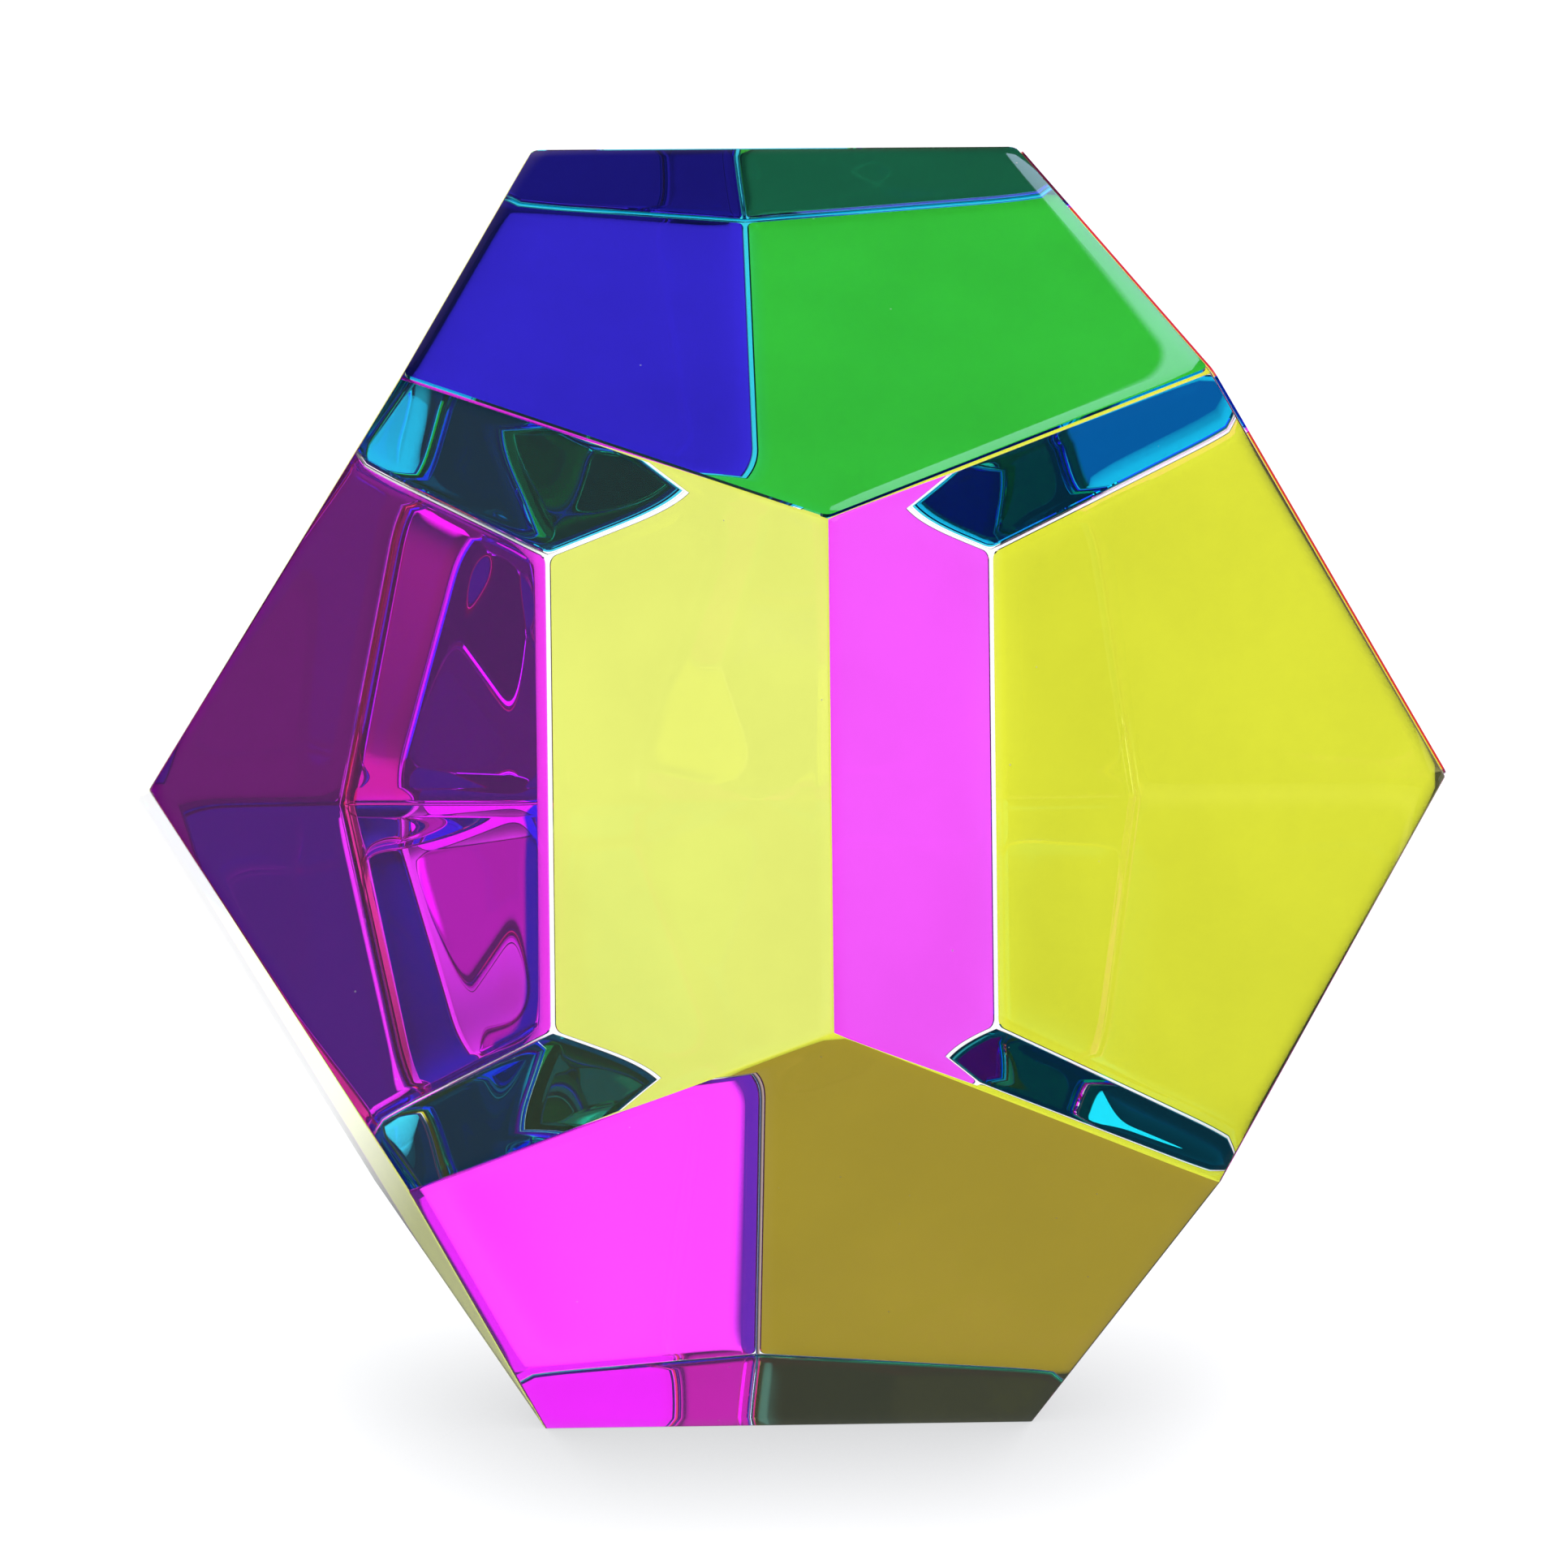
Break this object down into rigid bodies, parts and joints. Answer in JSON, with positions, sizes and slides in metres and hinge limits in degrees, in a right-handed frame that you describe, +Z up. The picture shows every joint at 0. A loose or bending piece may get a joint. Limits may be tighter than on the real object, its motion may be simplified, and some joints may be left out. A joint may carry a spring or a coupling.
{
  "type": "colour-mixing dodecahedron desk block",
  "caption": "Solid clear dodecahedron block with thin cyan, magenta and yellow films bonded to five of its faces, so that light seen through it mixes into new colours.",
  "frame": {"origin": "centre of the flat face that the block rests on", "axes": "+Z up, out of the cyan top face; +X to the right and -Y towards the viewer, who sees the two clear upper front faces meet on the YZ plane"},
  "size_m": [0.0589, 0.0618, 0.0501],
  "materials": {
    "clear_acrylic": "polished optically clear acrylic",
    "clear_adhesive": "optically clear silicone adhesive",
    "cyan_film": "transparent cyan dyed film, glossy",
    "magenta_film": "transparent magenta dyed film, glossy",
    "yellow_film": "transparent yellow dyed film, glossy"
  },
  "bodies": {
    "root": {"clear_core": "clear_acrylic", "top_adhesive": "clear_adhesive", "top_cyan_film": "cyan_film", "upper_rear_adhesive": "clear_adhesive", "upper_rear_cyan_film": "cyan_film", "upper_right_adhesive": "clear_adhesive", "upper_right_magenta_film": "magenta_film", "lower_rear_left_adhesive": "clear_adhesive", "lower_rear_left_magenta_film": "magenta_film", "lower_rear_right_adhesive": "clear_adhesive", "lower_rear_right_yellow_film": "yellow_film"}
  },
  "joints": []
}
